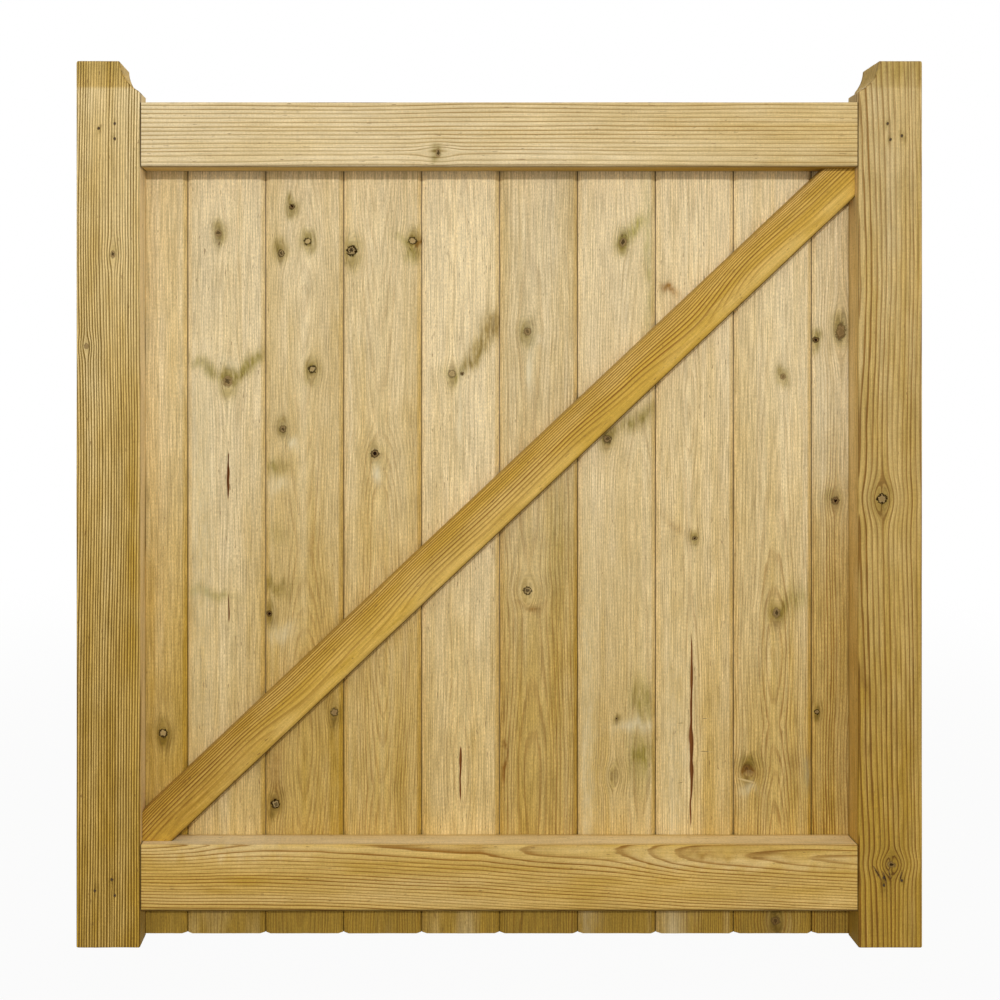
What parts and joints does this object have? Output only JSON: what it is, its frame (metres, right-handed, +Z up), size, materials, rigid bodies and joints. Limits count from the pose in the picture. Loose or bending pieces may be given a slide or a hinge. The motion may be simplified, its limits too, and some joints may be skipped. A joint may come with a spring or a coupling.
{
  "type": "wooden garden gate leaf",
  "caption": "Framed, ledged and braced wooden garden gate leaf with coved horns and V-jointed boards.",
  "frame": {"origin": "middle of the hinge stile's outer edge face, at half the height and half the thickness", "axes": "+X across the gate towards the latch stile, +Z up, -Y out of the side that shows the brace"},
  "size_m": [0.9, 0.044, 0.944],
  "materials": {
    "stile_timber": "pressure-treated softwood, planed, close vertical grain",
    "rail_timber": "pressure-treated softwood, planed, grain along the rail",
    "brace_timber": "pressure-treated softwood, planed, ochre heartwood",
    "board_timber": "pressure-treated softwood matchboard, planed, knotty"
  },
  "bodies": {
    "root": {"hinge_stile": "stile_timber", "latch_stile": "stile_timber", "top_rail": "rail_timber", "bottom_rail": "rail_timber", "brace": "brace_timber", "board_01": "board_timber", "board_02": "board_timber", "board_03": "board_timber", "board_04": "board_timber", "board_05": "board_timber", "board_06": "board_timber", "board_07": "board_timber", "board_08": "board_timber", "board_09": "board_timber", "board_10": "board_timber"}
  },
  "joints": []
}
